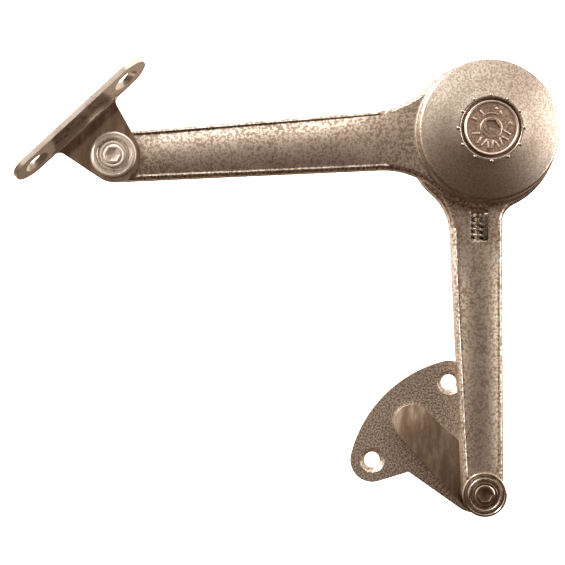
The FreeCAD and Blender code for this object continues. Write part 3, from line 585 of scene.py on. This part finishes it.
def cover_dish():
    edge, rim, base = COVER_EDGE, COVER_RIM, COVER_BASE
    profile = [(18.0, base), (19.45, base), (19.5, base + 0.1), (19.5, base + 1.1), (19.35, base + 1.3),
               (19.1, base + 1.4), (19.1, base + 1.6), (19.3, base + 1.75), (19.25, base + 2.6),
               (18.95, edge - 0.9), (18.88, edge - 0.55), (18.7, edge - 0.25), (18.45, edge - 0.08),
               (18.2, edge - 0.02), (16.0, edge + 0.55), (13.5, edge + 1.12), (11.0, edge + 1.62),
               (9.6, edge + 1.9), (8.7, rim - 0.08), (8.3, rim), (8.12, rim - 0.05), (8.05, rim - 0.12),
               (8.05, rim - 1.2), (8.3, rim - 1.3), (17.1, edge - 1.5), (17.6, edge - 2.2)]
    shape = turned(profile, steps=120)
    for k in range(STOPS):
        place = Matrix.Translation(round_at(STOP_CIRCLE, 360 // STOPS * k, rim - 0.17))
        bmesh.ops.create_icosphere(shape, subdivisions=2, radius=STOP_R, matrix=place)
    for bearing in (90, 210, 330):
        place = Matrix.Translation(round_at(LUG_CIRCLE, bearing, base + LUG_LENGTH / 2))
        bmesh.ops.create_cone(shape, matrix=place, cap_ends=True, cap_tris=False, segments=24,
                              radius1=LUG_R, radius2=LUG_R, depth=LUG_LENGTH)
    return shape


stand_in("hub_cover", stand(cover_dish(), HUB))


# Dial: a recessed face with raised marks and a hexagonal socket

DIAL_SOCKET = 4.0
MARK_LOW, MARK_TOP = DIAL_PAN - 0.1, DIAL_PAN + 0.36
STROKE = 0.55


def dial_body():
    low = -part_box("adjusting_dial")[1].y / MM
    face, pan = DIAL_FACE, DIAL_PAN
    profile = [(0, low + 1.2), (4.95, low + 1.2), (4.95, low), (8.4, low), (8.4, low + 0.8),
               (7.3, low + 0.8), (7.3, face - 0.25), (7.22, face - 0.08), (7.1, face), (6.85, face),
               (6.72, face - 0.08), (6.6, pan), (2.95, pan), (2.8, pan + 0.1), (2.6, pan + 0.12),
               (DIAL_SOCKET / 2, pan + 0.12), (DIAL_SOCKET / 2, pan - 0.9), (0, pan - 1.0)]
    shape = turned(profile, steps=96, closed=False)
    sink_hexagon(shape, DIAL_SOCKET)
    return shape


def arc_bar(shape, radius, width, start, end):
    """A raised bar bent round the dial between two bearings."""
    corners = [(radius - width / 2, MARK_LOW), (radius + width / 2, MARK_LOW),
               (radius + width / 4, MARK_TOP), (radius - width / 4, MARK_TOP)]
    face = shape.faces.new([shape.verts.new(round_at(r, start, height)) for r, height in corners])
    bmesh.ops.spin(shape, geom=[face], cent=(0, 0, 0), axis=(0, 0, 1), angle=math.radians(end - start),
                   steps=16)


def straight_bar(shape, inner, outer, bearing, width, lean=0.0):
    """A raised bar between two radii, turned about its own middle by `lean` degrees."""
    middle, waist = (inner + outer) / 2, (MARK_LOW + MARK_TOP) / 2
    turn = Matrix.Rotation(math.radians(bearing), 4, "Z") @ Matrix.Translation((middle, 0, waist))
    size = Matrix.Diagonal((outer - inner, width, MARK_TOP - MARK_LOW, 1))
    place = turn @ Matrix.Rotation(math.radians(lean), 4, "Z") @ size
    made = bmesh.ops.create_cube(shape, size=1.0, matrix=place)
    top = [e for v in made["verts"] for e in v.link_edges if all(w.co.z > waist for w in e.verts)]
    bmesh.ops.bevel(shape, geom=list(set(top)), offset=width * 0.28, offset_type="OFFSET", segments=2,
                    profile=0.5, affect="EDGES", material=-1)


def dial_marks():
    """A turning arrow and a dot over the socket, a plus and a minus beside it, a fan of strokes below."""
    shape = bmesh.new()
    arc_bar(shape, 3.9, 0.6, 62, 128)
    straight_bar(shape, 3.7, 5.5, 122, STROKE, lean=8)
    straight_bar(shape, 4.1, 5.2, 58, STROKE, lean=40)
    for bearing in (152, 12):
        straight_bar(shape, 4.5, 5.6, bearing, STROKE)
    straight_bar(shape, 4.85, 5.25, 12, 1.2)
    for k, bearing in enumerate((200, 226, 243, 258, 273, 288, 304, 322, 342)):
        straight_bar(shape, 3.3 + 0.35 * (k % 2), 5.5, bearing, 0.5, lean=14 if k % 2 else -14)
    dot = Matrix.Translation((1.4, 5.1, MARK_LOW + 0.12))
    bmesh.ops.create_icosphere(shape, subdivisions=2, radius=0.4, matrix=dot)
    bmesh.ops.recalc_face_normals(shape, faces=shape.faces)
    return shape


stand_in("adjusting_dial", stand(dial_body(), HUB))
add_piece("dial_marks", stand(dial_marks(), HUB), "dial_bronze", "dial")


# Closing spring: a wound wire with closed ends

def wound_spring():
    low_corner, high_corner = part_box("closing_spring")
    centre = (low_corner + high_corner) / 2 / MM
    wire, outer = 0.5, (high_corner.x - low_corner.x) / MM / 2
    mean, length = outer - wire, (high_corner.z - low_corner.z) / MM - 2 * wire
    turns, pitch_steps = 14.5, 28
    shape = bmesh.new()
    steps = int(turns * pitch_steps)
    made = bmesh.ops.create_circle(shape, cap_ends=False, segments=12, radius=wire)["verts"]
    place = Matrix.Translation((centre.x + mean, centre.y, centre.z + length / 2))
    bmesh.ops.transform(shape, matrix=place @ Matrix.Rotation(math.radians(90), 4, "X"), verts=made)
    edges = list({e for v in made for e in v.link_edges})
    bmesh.ops.spin(shape, geom=list(made) + edges, cent=(centre.x, centre.y, 0), axis=(0, 0, 1),
                   dvec=(0, 0, -length / steps), angle=math.tau * turns, steps=steps)
    bmesh.ops.holes_fill(shape, edges=[e for e in shape.edges if len(e.link_faces) == 1])
    bmesh.ops.recalc_face_normals(shape, faces=shape.faces)
    shape.transform(Matrix.Scale(MM, 4))
    return shape


spring = stand_in("closing_spring", wound_spring())
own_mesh(spring)


# Everything else keeps its CAD shape and takes the finish of its slot
shown_otherwise = {node for piece in bpy.data.objects for node in piece.get("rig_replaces", [])}
for node, obj in frame["nodes"].items():
    if node not in shown_otherwise:
        obj.data.materials.clear()
        obj.data.materials.append(MATERIALS[SLOT_OF[node]])


# Studio

def plain_stage():
    """Pale floor that curves up into a backdrop far behind."""
    shape = bmesh.new()
    floor, back, radius, half = -0.16, 0.75, 0.25, 2.5
    profile = [Vector((-half, -2.0, floor)), Vector((-half, back - radius, floor))]
    for k in range(1, 13):
        turn = math.radians(90 * k / 12)
        depth = back - radius + radius * math.sin(turn)
        profile.append(Vector((-half, depth, floor + radius * (1 - math.cos(turn)))))
    profile.append(Vector((-half, back, 2.0)))
    verts = [shape.verts.new(p) for p in profile]
    edges = [shape.edges.new(pair) for pair in zip(verts, verts[1:])]
    swept = bmesh.ops.extrude_edge_only(shape, edges=edges)["geom"]
    bmesh.ops.translate(shape, vec=(2 * half, 0, 0), verts=verts_in(swept))
    bmesh.ops.recalc_face_normals(shape, faces=shape.faces)
    mesh = smooth_mesh("studio_floor", shape)
    f = Finish("studio_paper", Roughness=0.9, Emission_Strength=1.0)
    pulp = f.noise(f.place(), 4 * MM, 2.0)
    paper = f.mix(pulp, rgb(0.80, 0.80, 0.80), rgb(0.82, 0.82, 0.82))
    mesh.materials.append(f.set(Base_Color=paper, Emission_Color=rgb(1, 1, 1)))
    floor_piece = bpy.data.objects.new("studio_floor", mesh)
    bpy.context.scene.collection.objects.link(floor_piece)
    floor_piece.visible_glossy = False


def soft_light(name, place, aim, size, power):
    lamp = bpy.data.lights.new(name, "AREA")
    lamp.shape = "RECTANGLE"
    lamp.size, lamp.size_y = size
    lamp.energy = power
    light = bpy.data.objects.new(name, lamp)
    light.location = place
    light.rotation_euler = (Vector(aim) - Vector(place)).to_track_quat("-Z", "Y").to_euler()
    bpy.context.scene.collection.objects.link(light)


def studio_world():
    """Pale room, brightest above and to the left, dark below and in front of the stay."""
    world = bpy.data.worlds.new("studio_room")
    world.use_nodes = True
    nodes, links = world.node_tree.nodes, world.node_tree.links
    split = nodes.new("ShaderNodeSeparateXYZ")
    links.new(nodes.new("ShaderNodeTexCoord").outputs["Generated"], split.inputs[0])

    def ramp(side, low, high, dark, bright):
        made = nodes.new("ShaderNodeMapRange")
        made.interpolation_type = "SMOOTHSTEP"
        for place, number in ((1, low), (2, high), (3, dark), (4, bright)):
            made.inputs[place].default_value = number
        links.new(split.outputs[side], made.inputs[0])
        return made.outputs[0]

    def times(first, second):
        made = nodes.new("ShaderNodeMath")
        made.operation = "MULTIPLY"
        links.new(first, made.inputs[0])
        links.new(second, made.inputs[1])
        return made.outputs[0]

    height = ramp("Z", -0.45, 0.40, 0.03, 1.0)
    sideways = ramp("X", -0.5, 0.5, 1.1, 0.62)
    front = ramp("Y", -0.95, -0.80, 0.12, 1.0)
    tint = nodes.new("ShaderNodeValToRGB")
    links.new(times(times(height, sideways), front), tint.inputs["Fac"])
    tint.color_ramp.elements[0].color = (0.030, 0.015, 0.008, 1)
    tint.color_ramp.elements[1].color = (1.0, 0.965, 0.92, 1)
    middle = tint.color_ramp.elements.new(0.4)
    middle.color = (0.42, 0.32, 0.24, 1)
    links.new(tint.outputs["Color"], nodes["Background"].inputs["Color"])
    nodes["Background"].inputs["Strength"].default_value = 1.95
    bpy.context.scene.world = world


def front_camera():
    """Square on to the stay, a little above its middle."""
    lens = bpy.data.cameras.new("camera")
    lens.sensor_width = 36.0
    lens.lens = 59.9
    lens.shift_x, lens.shift_y = -0.038, 0.0558
    lens.clip_start, lens.clip_end = 0.01, 20.0
    camera = bpy.data.objects.new("camera", lens)
    camera.location = (-0.03107, -0.2765, 0.03153)
    camera.rotation_euler = (math.radians(90), math.radians(0.27), 0)
    bpy.context.scene.collection.objects.link(camera)
    bpy.context.scene.camera = camera


plain_stage()
studio_world()
soft_light("key_upper_left", (-0.45, -0.38, 0.55), (0, 0, 0.03), (0.35, 0.35), 4.5)
soft_light("right_panel", (0.55, -0.35, 0.15), (0, 0, 0.04), (0.22, 0.5), 2.5)
front_camera()
bpy.context.scene.view_settings.view_transform = "Standard"
